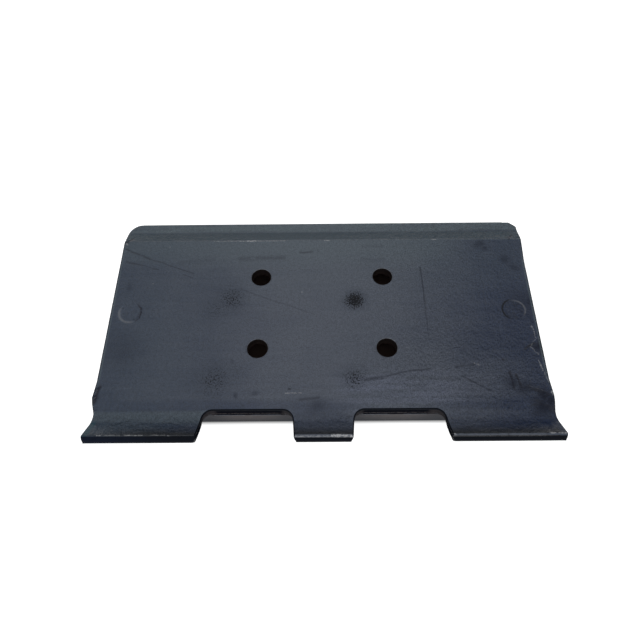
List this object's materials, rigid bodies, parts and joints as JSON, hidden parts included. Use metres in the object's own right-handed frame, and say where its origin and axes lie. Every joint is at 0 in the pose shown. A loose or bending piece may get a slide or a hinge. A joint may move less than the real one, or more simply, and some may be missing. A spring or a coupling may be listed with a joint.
{
  "type": "steel track shoe",
  "caption": "Rolled steel track shoe: a flat plate with parallel grousers beneath, a hooked lip with reliefs for the links, a bent tail, and holes that bolt it to a crawler chain.",
  "frame": {"origin": "centre of the bolt hole pattern, on the link face", "axes": "+X across the track, along the grousers; -Y towards the hooked lip; +Z out of the link face, away from the grousers"},
  "size_m": [0.4553, 0.2721, 0.0521],
  "materials": {
    "painted_steel": "satin"
  },
  "bodies": {
    "root": {"track_shoe": "painted_steel"}
  },
  "joints": []
}
